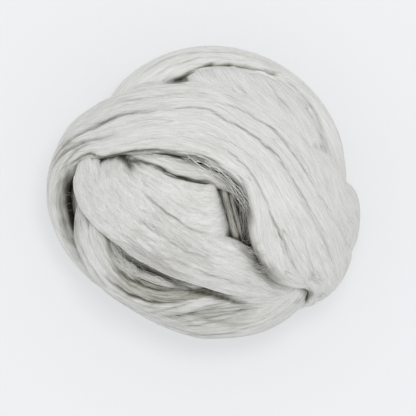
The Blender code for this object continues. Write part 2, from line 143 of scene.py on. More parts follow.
# Rows along each wrap, from the inside wraps out, with its width, how far its crest
# lies over the core, and its thickness, mm. The CLOSED ones run right round the ball.
CLOSED = ("under_belt", "belt_low", "back")
WRAPS = {
    # Floor of the deep gap beside the front mass
    "hole_west": (
        side(-92, 30, 22, 5, 8), top(14, -34, 16, 5, 9), top(11, -14, 11, 8, 9), top(9, 4, 11, 8, 9),
        top(6, 24, 18, 6, 8), side(88, 30, 22, 5, 8),
    ),
    "hole_east": (
        side(-78, 30, 26, 4, 8), top(24, -32, 22, 4, 9), top(21, -12, 18, 5, 9), top(20, 6, 18, 5, 9),
        top(18, 26, 22, 5, 8), side(72, 30, 26, 5, 8),
    ),
    # Floor of the pocket under the front mass, and the coils that show in it
    "pocket_inner": (
        top(-50, -16, 14, 5, 8), top(-45, -29, 20, 6, 9), top(-34, -41, 22, 6, 9),
        top(-18, -47, 20, 6, 9), top(2, -48, 16, 5, 8),
    ),
    "coil_inner": (
        top(-52, -14, 7, 5, 7), top(-49.5, -24, 8, 10, 8), top(-40.5, -37, 9, 11.5, 8),
        top(-30, -43.5, 9, 12, 8), top(-18.5, -47.5, 8.5, 12, 8), top(-6, -49.5, 8, 11, 8),
        top(6, -50.5, 8, 7, 8),
    ),
    "coil_outer": (
        top(-56, -16, 7, 6, 7), top(-53, -26, 7, 12, 8), top(-49, -35, 7.5, 13.5, 8),
        top(-43, -42.5, 8, 14, 8), top(-34.5, -49.5, 8, 14.5, 8), top(-23, -53.3, 7.5, 14.5, 8),
        top(-11, -54, 7, 13.5, 8), top(4, -54, 7, 10, 8),
    ),
    # Under-layers that close the gaps between the outer wraps at the sides
    "under_belt": (
        side(0, 4, 56, 11, 14), side(45, 8, 56, 11, 14), side(90, 8, 56, 10, 14),
        side(125, 8, 56, 6, 12), side(160, -8, 46, 5, 12), side(190, -14, 40, 6, 12),
        side(225, 0, 56, 8, 12), side(270, 4, 56, 11, 14), side(315, 6, 56, 13, 14),
    ),
    "under_foot": (
        side(60, 20, 50, 8, 12), side(66, -20, 60, 12, 14), side(78, -58, 66, 14, 14),
        side(255, -86, 66, 15, 14), side(262, -56, 66, 14, 14), side(268, -22, 60, 12, 14),
    ),
    # Belt low round the ball, and the wrap that the flat spot is on
    "belt_low": (
        side(0, -32, 48, 17, 16), side(45, -24, 48, 16, 16), side(90, -23, 50, 18, 16),
        side(135, -32, 50, 15, 16), side(180, -42, 50, 17, 16), side(225, -40, 50, 16, 16),
        side(270, -30, 50, 18, 16), side(315, -30, 50, 18, 16),
    ),
    "cross_low": (
        side(66, 2, 36, 10, 14), side(48, -22, 40, 17, 15), side(24, -44, 42, 20, 16),
        side(-30, -66, 44, 21, 16), side(-112, -64, 46, 21, 16), side(-148, -44, 44, 19, 15),
        side(-172, -24, 40, 16, 14), side(166, -12, 36, 10, 14),
    ),
    "foot": (
        side(150, -30, 50, 10, 14), side(160, -58, 62, 18, 16), side(200, -88, 70, 21, 18),
        side(-20, -60, 62, 18, 16), side(-26, -30, 50, 10, 14),
    ),
    # Back arch
    "back": (
        side(135, 13.5, 38, 10, 13), side(121, 12, 40, 14.5, 14), side(108, 10.8, 44, 17.5, 15),
        side(92, 8, 46, 20, 15), side(75, 6.3, 44, 21, 15), side(58, 3, 40, 20.5, 15),
        side(42, -2, 40, 19.2, 15), side(28, -4, 40, 17.6, 15), side(12, -8, 38, 15, 14),
        side(-8, -16, 38, 14, 13), side(-30, -24, 38, 14, 12), side(-60, -36, 38, 12, 12),
        side(-95, -44, 38, 11, 12), side(-130, -40, 38, 10, 12), side(-165, -24, 38, 10, 12),
        side(170, -4, 38, 8, 12), side(152, 8, 38, 8, 12),
    ),
    # Right flank, whose rounded head lies over the end of the fan
    "right": (
        top(52, 31, 12, 10, 9), top(60, 19.5, 17, 19, 12), top(68, 8, 22, 19.8, 13),
        top(73, -4, 28, 20.3, 13), side(-10, 12, 32, 22, 14), side(-17, 6, 33, 23.2, 15),
        side(-23, 0, 32, 23, 15), side(-34, -14, 30, 19, 14), side(-50, -32, 30, 15, 13),
        side(-80, -50, 30, 12, 12),
    ),
    # Three locks at the upper right that fan out from under the back arch
    "fan_1": (
        top(-4, 68.5, 14, 6, 9), top(-0.5, 62, 17, 16, 11), top(6, 55.5, 20, 18.5, 12),
        top(18, 46, 20, 19, 12), top(30, 35, 18, 16, 12),
    ),
    "fan_2": (
        top(12, 69.5, 20, 6, 9), top(14, 64, 26, 17.5, 12), top(21, 55.5, 28, 19.5, 13),
        top(33, 43.5, 28, 20, 13), top(45, 29, 24, 18.5, 12), top(54, 14, 20, 15, 12),
        top(61, -2, 18, 12, 11),
    ),
    "fan_3": (
        top(30, 66, 20, 6, 9), top(34, 59, 26, 18, 12), top(42, 49.5, 28, 19, 13),
        top(51.5, 37.5, 26, 18.6, 13), top(58.5, 24, 22, 17, 12), top(63.5, 10, 20, 14, 12),
        side(-3, 12, 18, 10, 11),
    ),
    # Lowest front wrap
    "front_low": (
        side(205, -24, 30, 9, 12), side(222, -8, 34, 14, 13), side(238, 4, 36, 14, 14),
        side(252, 10, 38, 16.5, 14), side(266, 13, 40, 20, 15), side(280, 13, 40, 21.5, 15),
        side(294, 13, 38, 23, 15), side(306, 15, 32, 22, 14), side(314, 16, 25, 19.5, 13),
        side(326, 8, 22, 10, 11),
    ),
    # Front-left wrap in two locks, outer and inner
    "front": (
        top(-60, 5, 11, 1, 8), top(-64.5, -7.5, 12, 8.5, 9), top(-65.5, -19, 17, 14, 11),
        top(-61.5, -32, 19, 16.5, 12), top(-54, -44.5, 18, 17.5, 12), top(-43, -54, 16, 17.5, 12),
        top(-28, -60.5, 14, 17.5, 12), top(-11, -61.5, 14, 17.5, 12), top(8, -60, 14, 17.5, 12),
        top(26, -58.5, 13, 18.5, 12), top(40, -57, 12, 19, 11), side(-47, 20, 12, 15, 10),
        side(-38, 12, 12, 9, 9),
    ),
    "front_in": (
        top(-51, -2, 10, 1, 8), top(-56, -12, 10, 9, 9), top(-57, -21, 12, 14.5, 10),
        top(-53, -32, 12, 15.5, 10), top(-46.5, -43, 11, 15.8, 10), top(-37, -51.5, 10, 15.8, 10),
        top(-25, -56.5, 9, 15.5, 9), top(-10, -57.5, 9, 15.5, 9), top(6, -56.5, 9, 15, 9),
        top(22, -56, 8, 12, 9),
    ),
    # Central front mass, its lower edge lock, and the lobe on its inner side
    "mass": (
        side(150, 34, 30, 4, 10), top(-49, 20, 34, 10, 12), top(-49, 8, 38, 16.5, 14),
        top(-41, -5, 42, 19, 14), top(-28.5, -19, 43, 19.6, 14), top(-13.7, -29.4, 36, 19.8, 14),
        top(1.7, -36, 31.5, 19, 14), top(15.5, -40, 28, 18, 13), top(26, -44.5, 22, 17.4, 12),
        top(36, -49, 14, 17, 11), top(46, -51.8, 10, 18.3, 9), top(51, -52.2, 8, 18.3, 8),
        top(54.3, -52.4, 5, 15, 6), top(55, -52.6, 2, 4, 5),
    ),
    "mass_edge": (
        top(-61, 25, 15, 8, 8), top(-62, 14.5, 19, 15.5, 10), top(-61.5, 3, 22, 17, 11),
        top(-54, -8.5, 23, 18, 11), top(-41.5, -18.5, 24, 18.7, 11), top(-29, -28.5, 22, 18.7, 11),
        top(-15, -36.5, 20, 18.2, 11), top(0, -43, 17, 17.7, 10), top(15, -48.8, 14, 17.2, 10),
        top(32, -52.5, 12, 17, 9), top(44, -53.6, 8, 16.5, 8), top(52, -54, 5, 12, 6),
    ),
    "inner_lobe": (
        top(-44, 15, 16, 12, 10), top(-33, 8, 18, 17, 12), top(-22, 0, 23, 20, 13),
        top(-10, -7.5, 29, 20.5, 13), top(-2, -11, 33, 20.2, 13), top(4.4, -12, 34, 18.7, 13),
        top(9.4, -11.2, 34, 15.5, 13), top(12, -8.4, 32, 4, 12),
    ),
    # Thin lens of a wrap inside the main one
    "lens": (
        top(-47, 21, 7, 9, 7), top(-37, 18.6, 9, 13.5, 8), top(-25, 16.3, 12, 15, 8),
        top(-12, 12.6, 14, 15.5, 8), top(0, 9.4, 12, 15, 8), top(9, 5.8, 9, 13.5, 7),
        top(16, 2, 6, 12, 6), top(23, -4, 5, 9, 6),
    ),
    # Main wrap over the ball, as four locks side by side, inner to outer,
    # whose lower ends curl round the tip of the front mass
    "over_1": (
        side(250, -34, 14, 12, 10), side(225, -15, 14, 15, 10), side(205, -8, 11.5, 17, 10),
        side(188, 1.5, 10.5, 18.5, 10), side(173, 12.5, 10.5, 18.5, 10), top(-66, 21.5, 11, 17.5, 10),
        top(-52, 24.2, 12, 17.5, 10), top(-38.5, 26.6, 14, 18.5, 11), top(-20, 28.3, 16, 20, 11),
        top(1, 24.4, 16, 20.5, 11), top(15.5, 16, 14.5, 20.5, 11), top(25.5, 7, 13.5, 20.5, 11),
        top(31, -6.5, 14.5, 20.5, 11), top(33, -20, 16, 20.5, 11), top(36.5, -31, 17, 21, 11),
        top(41.5, -40.3, 15.5, 21.8, 11), top(49, -45.6, 12, 22.2, 10), top(57, -47, 11, 23, 10),
        top(61.5, -51.5, 10.5, 24.2, 10), top(58.5, -57.5, 10, 24, 10), side(-52, 3, 10, 20, 9),
        side(-60, -2, 10, 15, 9),
    ),
    "over_2": (
        side(254, -42, 18, 12, 11), side(226, -21, 18, 16, 11), side(205, -11, 18, 18, 12),
        side(188, -4, 18, 19.5, 12), side(172, 6, 18, 20, 12), side(160, 17, 18, 18.5, 12),
        top(-54.5, 30, 15, 17.5, 12), top(-39, 34.5, 16, 18.5, 12), top(-20, 37.3, 15, 20, 12),
        top(2.5, 36, 18, 21, 12), top(19.5, 24.8, 18.5, 21.5, 12), top(30.8, 14.3, 19, 21.5, 12),
        top(41, -3, 20, 21.5, 12), top(48, -16, 21, 22, 12), top(54, -28.5, 22, 22.8, 12),
        top(59, -38.5, 21, 23.8, 12), top(64, -46, 18, 25, 12), top(66, -51.5, 15, 25.6, 12),
        side(-43, 3, 13, 24, 12), side(-51, -4, 13, 20, 11), side(-61, -12, 14, 14, 11),
    ),
    "over_3": (
        side(250, -50, 20, 11, 11), side(222, -32, 20, 14, 12), side(203, -23, 21, 17, 12),
        side(188, -16, 22, 18.5, 12), side(174, -6, 24, 19, 12), side(160, 4, 24, 18.5, 12),
        side(147, 17, 23, 15.5, 12), top(-40, 46.5, 20, 16, 12), top(-20, 48.7, 20, 18.5, 12),
        top(2, 47.5, 17, 20, 12), top(24.5, 35, 14, 21, 12), top(39, 22.8, 13, 21, 12),
        top(52.5, 2.8, 13.5, 21, 12), top(61, -10.5, 14, 21.5, 12), top(67.5, -21.5, 14.5, 22.5, 12),
        top(71, -32, 16, 23.6, 12), side(-30, 9, 20, 25.3, 12), side(-37, 4, 20, 26.3, 12),
        side(-43, -3, 20, 23, 12), side(-52, -12, 20, 18, 12), side(-64, -22, 20, 13, 11),
    ),
    "over_4": (
        side(143, 26, 10, 11, 9), top(-34, 53, 12, 15, 9), top(-17, 54, 12, 17.5, 10),
        top(3, 52.5, 13, 19, 11), top(20, 46, 13, 20, 11), top(34, 37.8, 12.5, 20.3, 11),
        top(44.5, 28.8, 12.5, 20.3, 11), top(54, 17, 13, 20.5, 11), top(61.5, 3.5, 11.5, 21, 11),
        top(66, -7, 9, 21.5, 10), top(70, -16.5, 8, 22, 10), top(73, -26, 8, 22.3, 10),
        side(-26, 6, 9, 20, 10), side(-31, -10, 9, 15, 10),
    ),
    # Fine strands that show only down the gaps, and aren't in the solid
    "hole_strand": (
        top(9.5, 12, 4, 8, 5), top(11, 1.5, 4, 10.5, 5), top(13.2, -8, 4, 10.8, 5),
        top(17, -22, 4.4, 10, 5), top(20, -34, 4, 5, 5),
    ),
    "hole_thread": (
        top(14, 9, 3, 7, 4), top(14.8, 0, 3, 9.4, 4), top(16.6, -9, 2.8, 9.8, 4),
        top(19.6, -22, 2.8, 9.2, 4), top(22, -32, 3, 5, 4),
    ),
}

# How each wrap is finished: its wool, the roundness of its section (2 is an ellipse,
# more is flatter with tighter edges), mm between mesh points across it, depth of its
# locks, how felted it is (0 is combed smooth), loose fibres on each 1000 square mm,
# and how much painted shade it takes in the hollows
# name: (wool, power, across, locks, felt, fibres, shade share)
FINISH = {
    "hole_west": ("shaded_inner_wool", 2.4, 0.7, 1.0, 0.6, 40, 0.7),
    "hole_east": ("shaded_inner_wool", 2.4, 0.6, 1.0, 0.8, 80, 0.75),
    "pocket_inner": ("shaded_inner_wool", 2.4, 0.6, 1.2, 0.8, 80, 1),
    "coil_inner": ("felted_wool", 2.2, 0.45, 0.6, 0.8, 90, 0.5),
    "coil_outer": ("shaded_inner_wool", 2.2, 0.45, 0.6, 0.5, 60, 1),
    "under_belt": ("combed_wool", 2.3, 1.4, 0.8, 0.3, 4, 1),
    "under_foot": ("combed_wool", 2.3, 1.4, 0.8, 0.3, 0, 1),
    "belt_low": ("combed_wool", 2.6, 0.8, 1.0, 0.3, 12, 1),
    "cross_low": ("combed_wool", 2.6, 0.8, 1.0, 0.3, 12, 1),
    "foot": ("combed_wool", 2.4, 1.2, 0.8, 0.3, 4, 1),
    "back": ("pale_wool", 2.6, 0.5, 0.16, 0.15, 10, 0.4),
    "right": ("combed_wool", 2.5, 0.6, 0.1, 0.2, 12, 1),
    "fan_1": ("combed_wool", 2.4, 0.5, 0.07, 0.15, 12, 0.7),
    "fan_2": ("combed_wool", 2.4, 0.5, 0.06, 0.15, 12, 0.7),
    "fan_3": ("combed_wool", 2.4, 0.5, 0.07, 0.15, 12, 0.7),
    "front_low": ("combed_wool", 2.5, 0.5, 0.45, 0.25, 20, 1),
    "front": ("combed_wool", 2.4, 0.5, 0.6, 0.2, 16, 0.25),
    "front_in": ("shaded_wool", 2.3, 0.5, 0.6, 0.2, 20, 0.65),
    "mass": ("felted_wool", 3.0, 0.5, 0.08, 0.7, 34, 1),
    "mass_edge": ("felted_wool", 3.0, 0.5, 0.1, 0.7, 34, 1),
    "inner_lobe": ("felted_wool", 2.7, 0.5, 0.06, 0.7, 34, 1),
    "lens": ("combed_wool", 2.3, 0.45, 0.25, 0.5, 40, 1),
    "over_1": ("combed_wool", 3.2, 0.42, 0.1, 0.2, 30, 1),
    "over_2": ("combed_wool", 5.0, 0.42, 0.08, 0.15, 24, 1),
    "over_3": ("combed_wool", 5.0, 0.42, 0.08, 0.15, 24, 1),
    "over_4": ("combed_wool", 3.4, 0.42, 0.09, 0.15, 22, 1),
    "hole_strand": ("shaded_inner_wool", 2.1, 0.4, 0.4, 0.3, 60, 0.8),
    "hole_thread": ("shaded_inner_wool", 2.1, 0.4, 0.4, 0.3, 60, 1),
}

# Splits between locks and folds in them, in mm, with painted shade along them, and soft
# painted shade down the gaps, with how much shade they paint (0 to 1) and points east and north
# name: (depth, shade, half width, points)
SPLITS = {
    # Main wrap
    "outer": (0.5, 0.4, 0.45, ((2.5, 46), (10, 45), (20, 41.5), (30, 36), (40, 28), (45, 21), (50, 14),
        (57, 3), (61, -4), (66, -10))),
    "middle": (0.5, 0.47, 0.45, ((-20, 41), (0, 43), (10, 37.5), (20, 32.5), (30, 25), (38, 18),
        (42, 12), (50, 0), (55, -9), (60, -17), (64, -24))),
    "inner": (0.5, 0.48, 0.45, ((5.5, 27), (13, 20.5), (19.5, 15), (25, 9), (29, 2), (31, -2),
        (33, -7.5), (36, -15), (40, -22.6), (44, -30), (47, -38))),
    "left": (1.2, 0.6, 1, ((-80, 14), (-77, 17), (-72, 24), (-62, 31), (-55, 33.5), (-48, 37),
        (-39, 40), (-25, 41))),
    "left_low": (1.1, 0.55, 1, ((-78, 13), (-70.5, 21), (-61, 26), (-52, 28), (-44, 29.5))),
    "left_edge": (0.9, 0.5, 0.9, ((-73, 11), (-68.5, 18), (-63, 23), (-56, 25.5))),
    "upper": (0.4, 0.25, 0.5, ((-55, 42), (-40, 46.5), (-22, 49), (-4, 50.5), (10, 49))),
    # Slit under the main wrap, and the frayed locks that cross it
    "main_edge": (0.6, 0.97, 0.9, ((-69, 11), (-67, 14.5), (-62, 18), (-57, 19.3), (-52, 17.7),
        (-46, 18.2), (-40, 19.6), (-30, 21), (-20, 20.6), (-12, 18.8))),
    "main_under": (0, 0.6, 2.6, ((-22, 20.5), (-14, 18.5), (-6, 16.5), (2, 13.3), (9, 9), (15, 4.5),
        (20, -0.5), (22.5, -5))),
    "main_furrow": (0.5, 0.5, 0.6, ((-4, 18.5), (4, 15.5), (12, 10), (18, 4.5), (22, -1))),
    "lens_notch": (1, 1, 2.8, ((-43.6, 20.5), (-40.4, 17.6), (-38.2, 15), (-36.6, 12), (-35.6, 10))),
    "lens_notch_top": (0.8, 1, 1.6, ((-45, 19.5), (-41, 18), (-37.5, 16.6), (-34, 15.6), (-30, 14.4))),
    "lens_edge": (1, 1, 0.9, ((-46, 19.5), (-41, 18), (-33, 16), (-27, 14.5), (-20, 11), (-13, 7.5),
        (-5, 6), (3, 5.2), (8, 4.2))),
    "fray_1": (0.6, 0.9, 0.7, ((-11, 18.6), (-5, 17.9), (1, 16), (5.5, 12.6))),
    "fray_2": (0.5, 0.8, 0.7, ((-9, 16.2), (-2, 14.3), (4, 11), (8.5, 6.6))),
    "fray_3": (0.5, 0.8, 0.5, ((-3, 19.3), (4, 16.8), (9, 13), (13, 8.5))),
    "fray_4": (0.4, 0.75, 0.5, ((5, 10.5), (9.5, 6.8), (13.5, 3))),
    "fray_5": (0.5, 0.8, 0.45, ((9, 11.5), (13.5, 7.5), (17.5, 2.5))),
    "fray_6": (0.4, 0.75, 0.45, ((12, 11.5), (17.5, 6), (21, 0))),
    "fray_7": (0.4, 0.65, 0.4, ((17.5, 9.5), (21, 4), (23, -2.5))),
    # Hole at the end of the slit
    "hole": (0, 0.56, 7, ((16, 4), (17, -4), (18.5, -12), (20, -21))),
    "hole_top": (0, 0.85, 2, ((9, 3.5), (14, 1.8), (18, 0), (21.5, -4), (23, -10), (24, -16))),
    "hole_left": (0, 0.9, 1.4, ((8.5, 4), (9.8, -4), (11.7, -11), (14, -18), (16.5, -23.5))),
    "hole_low": (0, 0.7, 1.6, ((13, -22.5), (17, -23.3), (21, -24.3), (25, -27))),
    "hole_between": (0, 0.8, 0.6, ((12.5, 1), (14, -6), (16, -14), (18.2, -22))),
    "mass_furred": (0, 0.8, 3.6, ((21.5, -25), (25, -31), (29, -37), (33, -42), (40, -46.5))),
    # Pocket and its coils
    "mass_under": (0, 0.95, 1.2, ((-51, -21.5), (-47, -25), (-43, -29), (-38, -33.3), (-34, -36.7),
        (-30, -39.3), (-24, -42), (-18, -44.3), (-12, -47.2), (-6, -49.8), (0, -51.5), (7, -53.5),
        (14, -55), (22, -56))),
    "pocket_dark": (0, 1, 2, ((-48, -25), (-42, -30.8), (-37.5, -34.8), (-33, -37), (-28.5, -39.6),
        (-24, -41.8), (-18, -43.6), (-13, -45.6), (-8, -48.4), (-3, -51))),
    "pocket_dark_2": (0, 1, 1.6, ((-35.5, -34.5), (-33, -38), (-30, -40), (-26.5, -40.6))),
    "pocket_dark_3": (0, 1, 1.8, ((-23, -42), (-18, -44.5), (-12.5, -46.8), (-6, -49.6))),
    "pocket_left": (0, 0.4, 2.2, ((-49.5, -23.5), (-46.5, -29), (-42, -35))),
    "pocket_side": (0, 0.6, 1.4, ((-48.5, -26), (-47.5, -31), (-46, -35.5))),
    "pocket_end": (0, 1, 1.6, ((-9, -49), (-4, -50.2), (1, -51.4), (7, -53), (13, -54.8), (19, -56.4),
        (25, -57.6))),
    "coil_gap": (0.8, 0.95, 1.2, ((-46.5, -35), (-44.2, -38.7), (-39.5, -42.6), (-34.8, -45.6),
        (-30.2, -47.6), (-24.7, -49.6), (-18.5, -50.2), (-10, -50.2))),
    "coil_lock": (0.6, 0.45, 0.6, ((-41, -34), (-37, -40), (-31, -44), (-24, -46.3), (-16, -47.3))),
    "coil_line": (0.6, 0.6, 0.5, ((-50, -33), (-44, -41), (-36, -48), (-25, -52.3), (-12, -53))),
    # Gap at the left
    "left_gap": (0, 1, 2.7, ((-67.5, 14), (-69, 8), (-69.5, 1), (-69, -6), (-67.5, -13), (-65.5, -20))),
    "left_soft": (0, 0.45, 2.4, ((-72.5, 11), (-74, 3), (-73.7, -8), (-71.8, -18), (-68, -28))),
    "left_gap_low": (0, 0.4, 1.6, ((-70, -15), (-68, -25), (-62, -37))),
    # Back arch and the pit under it
    "arch": (1.6, 0.75, 0.7, ((-14, 58), (-9, 59.8), (-5, 62.3), (-2, 64.2), (3, 65.4), (9, 65.6),
        (15, 65.3), (21, 64.6), (28, 63.6), (36.4, 61.5), (41, 61.8))),
    "arch_pit": (1, 1, 1.7, ((-19, 56.6), (-14.5, 57), (-10.5, 58), (-7, 60.8), (-4, 63))),
    "arch_pit_low": (0, 0.8, 1.2, ((-14.5, 57.2), (-11, 57.4), (-7.5, 58.8))),
    "arch_notch": (2, 0.8, 1, ((33.5, 62.2), (36.4, 61.3), (39, 61.8))),
    "arch_dark": (0, 1, 1, ((-0.5, 64.6), (3.5, 65.3), (7.5, 65.6))),
    "arch_dark_2": (0, 0.9, 0.8, ((9.5, 65.6), (12.8, 65.3), (16.5, 65.2))),
    "arch_a": (0.4, 0.25, 0.6, ((-36, 57), (-26, 65), (-14, 70.5), (0, 72.5), (14, 72), (28, 69))),
    "arch_b": (0.4, 0.25, 0.6, ((-28, 57), (-19, 63.5), (-10, 67), (0, 69.3), (12, 69.6), (26, 67.5))),
    # Fan and right flank
    "fan_left": (0.6, 0.3, 0.5, ((17.5, 57), (20, 53.5), (23, 49.5))),
    "fan_right": (0.6, 0.3, 0.5, ((33.5, 57), (37, 51.5), (42, 45), (47, 39))),
    "fan_edge": (0.9, 0.35, 0.8, ((41, 61), (47, 55), (52, 49), (57, 43), (60.5, 35), (62, 26))),
    "side_notch": (0.5, 0.35, 0.9, ((55.5, 23.7), (58.5, 23.4), (62, 23.3), (65, 22.8))),
    # Central front mass
    "mass_1": (0.9, 0.55, 0.5, ((-31, 0), (-25, -5), (-19.5, -9.4), (-12, -15), (-3, -20), (6, -22.5))),
    "mass_2": (0.5, 0.35, 0.5, ((-42, -7), (-35, -12.5), (-26, -19), (-15, -26), (-5, -31),
        (4, -34.5))),
    "mass_3": (0.5, 0.4, 0.5, ((-20, -29), (-11, -35.5), (0, -40.5), (12, -45), (24, -48.5))),
    # Front wraps, and the knot at their right end
    "front_olive": (1, 0.95, 1, ((-51, -41), (-46, -46.5), (-40, -51), (-34, -54), (-28, -55.8),
        (-20, -56.4), (-13, -55.8), (-6, -54.6))),
    "front_tan": (0, 0.25, 2.6, ((-46, -44), (-38, -49.5), (-30, -52.5), (-22, -54), (-13, -54),
        (-5, -53))),
    "front_groove": (0.3, 0.25, 0.7, ((-56, -41), (-50, -48.5), (-44, -53), (-36, -56.5))),
    "front_a": (1, 0.68, 0.5, ((-27.3, -64.2), (-23, -64.6), (-16, -63.9), (-7, -62.5), (4, -59.8),
        (14, -57.6))),
    "front_b": (0.9, 0.55, 0.5, ((-20, -67.5), (-11.7, -67.1), (-1.3, -65.5), (9, -63.2), (20.5, -60),
        (29, -57.8))),
    "front_c": (0.9, 0.5, 0.5, ((-18, -69.3), (-6.5, -69), (4, -67), (14, -64.9), (25, -61.3))),
    "front_d": (0.6, 0.35, 0.6, ((-10, -73.5), (0, -74), (12, -73), (24, -70))),
    "front_e": (0.6, 0.45, 0.5, ((-31.5, -62.7), (-22, -61.1), (-12, -58.5), (-4, -55.2))),
    "front_f": (0.6, 0.5, 0.5, ((-5, -60.6), (5, -58), (14, -56.2))),
    "front_side": (0.8, 0.3, 0.7, ((-66, -14), (-63, -27), (-57, -39), (-48, -49.5), (-37, -56.5))),
    "front_shade": (0, 0.3, 4.8, ((-22, -65), (-8, -63.5), (8, -61.5), (20, -59.5), (30, -57.5))),
    "knot": (0, 0.6, 1, ((51.5, -50), (54.5, -50.8), (56, -52.3), (54.6, -54.4), (50.5, -56))),
}

# Wraps that lie over a place of painted shade and stay clear of that shade
CLEAR = {
    "arch_pit": ("over_3", "fan_1"),
    "hole": ("mass", "lens", "inner_lobe", "over_1"),
    "hole_left": ("mass", "lens", "inner_lobe"),
    "hole_low": ("mass", "inner_lobe"),
    "left_gap": ("mass", "mass_edge"),
    "lens_notch": ("over_1",),
    "pocket_dark": ("mass", "mass_edge"),
    "pocket_dark_2": ("mass", "mass_edge"),
    "pocket_dark_3": ("mass", "mass_edge"),
    "pocket_end": ("mass", "mass_edge"),
}

# Stray fibres that cross a gap or stand off a surface: how many, the place in mm east
# and north where they start and where they end, spread at each end, bow over what
# lies between, curl, thickest radius, and painted shade (0 to 1)
# name: (count, from east, from north, to east, to north, spread, bow, curl, radius, shade)
STRAYS = {
    "fray_upper": (9, -9, 18.2, 12, 9, 1.6, 0.8, 0.3, 0.26, 0.0),
    "fray_middle": (11, 1, 15.2, 20, 0, 1.8, 0.9, 0.4, 0.26, 0.0),
    "fray_hole": (10, 11, 8.5, 23, -9, 1.8, 0.8, 0.4, 0.22, 0.0),
    "fray_ends": (6, 14, 4, 21, -14, 2.5, 0.6, 0.6, 0.14, 0.15),
    "fray_lens": (6, -34, 19.5, -8, 15.5, 1.2, 0.8, 0.4, 0.2, 0.0),
    "left_gap": (4, -72, -3, -65, -2, 3.0, 0.5, 0.15, 0.06, 0.5),
    "left_gap_low": (3, -71, -9, -65, -8, 2.0, 0.5, 0.15, 0.06, 0.5),
    "pocket_curls": (6, -46, -26, -37, -38, 2.6, 1.2, 1.3, 0.14, 0.25),
    "pocket_loops": (3, -42, -30, -33, -42, 2.6, 1.2, 1.6, 0.14, 0.25),
    "pocket_lock": (8, -43.5, -33.5, -33, -42.8, 0.9, 0.5, 0.7, 0.19, 0.0),
    "pocket_lock_low": (8, -33.5, -42.2, -15, -47.6, 0.9, 0.5, 0.5, 0.19, 0.0),
    "pocket_swirl": (5, -44.5, -30.5, -40, -38, 1.0, 0.6, 1.5, 0.16, 0.05),
    "pocket_rim": (3, -38, -32, -26, -41, 2.5, 1.0, 0.8, 0.1, 0.5),
    "fur_edge": (22, 18, -28, 30, -30, 3.5, 0.6, 0.5, 0.1, 0.3),
    "fur_low": (22, 24, -37, 35, -40, 4.0, 0.6, 0.5, 0.1, 0.3),
    "fur_tip": (10, 32, -45, 43, -48.5, 2.5, 0.6, 0.5, 0.1, 0.2),
    "hole_floor": (12, 20, 2, 21, -24, 3.0, 0.4, 0.4, 0.1, 0.45),
    "mass_hairs": (70, -40, -25, -8, -42, 7.0, 0.25, 0.7, 0.09, 0.1),
    "mass_hairs_up": (40, -30, -12, 5, -34, 7.0, 0.25, 0.6, 0.08, 0.05),
    "hole_fur": (20, 21, 0, 22.5, -24, 2.6, 0.6, 1.1, 0.1, 0.5),
    "hole_edge": (8, 8.5, 2, 15, -22, 1.5, 0.5, 0.9, 0.09, 0.35),
    "tip_curls": (8, 54, -43, 62, -46, 2.5, 1.2, 1.2, 0.1, 0.15),
}


def spline(values, closed, steps):
    """Catmull-Rom through the rows, with so many steps in each span."""
    if closed:
        knots = np.concatenate([values[-1:], values, values[:2]])
    else:
        knots = np.concatenate([values[:1], values, values[-1:]])
    found = []
    for i, count in enumerate(steps):
        p0, p1, p2, p3 = knots[i:i + 4]
        for k in range(count):
            t = k / count
            found.append(0.5 * (2 * p1 + (p2 - p0) * t + (2 * p0 - 5 * p1 + 4 * p2 - p3) * t * t
                                + (3 * p1 - p0 - 3 * p2 + p3) * t ** 3))
    if not closed:
        found.append(values[-1])
    return np.array(found)


def shell_points(units, lifts):
    """Points at these lifts over the core, mm, for unit directions."""
    return units * (CORE + lifts[..., None]) + CENTRE


def unit(vectors, least=0.0):
    """Vectors at length 1."""
    return vectors / (np.linalg.norm(vectors, axis=-1, keepdims=True) + least)


def running(gaps):
    """Sums of gaps from 0 on, along the last axis."""
    return np.concatenate([np.zeros_like(gaps[..., :1]), np.cumsum(gaps, axis=-1)], axis=-1)


def flow_noise(u, v, seed, around=None):
    """Gradient noise, about -1 to 1, which repeats after so many cells of u if around is given."""
    low_u, low_v = np.floor(u).astype(int), np.floor(v).astype(int)
    part_u, part_v = u - low_u, v - low_v
    base_u, base_v = (0 if around else low_u.min()), low_v.min()
    rows = around or int(low_u.max() - base_u + 2)
    cols = int(low_v.max() - base_v + 2)
    angle = np.random.default_rng(seed).uniform(0, 2 * math.pi, (rows, cols))
    slope_u, slope_v = np.cos(angle), np.sin(angle)

    def corner(a, b):
        row, col = (low_u - base_u + a) % rows, low_v - base_v + b
        return slope_u[row, col] * (part_u - a) + slope_v[row, col] * (part_v - b)

    ease_u = part_u ** 3 * (part_u * (part_u * 6 - 15) + 10)
    ease_v = part_v ** 3 * (part_v * (part_v * 6 - 15) + 10)
    near = corner(0, 0) * (1 - ease_v) + corner(0, 1) * ease_v
    far = corner(1, 0) * (1 - ease_v) + corner(1, 1) * ease_v
    return 1.5 * (near * (1 - ease_u) + far * ease_u)


def ease(x, low, high):
    """A smooth step from 0 at low to 1 at high."""
    t = np.clip((x - low) / (high - low), 0, 1)
    return t * t * (3 - 2 * t)


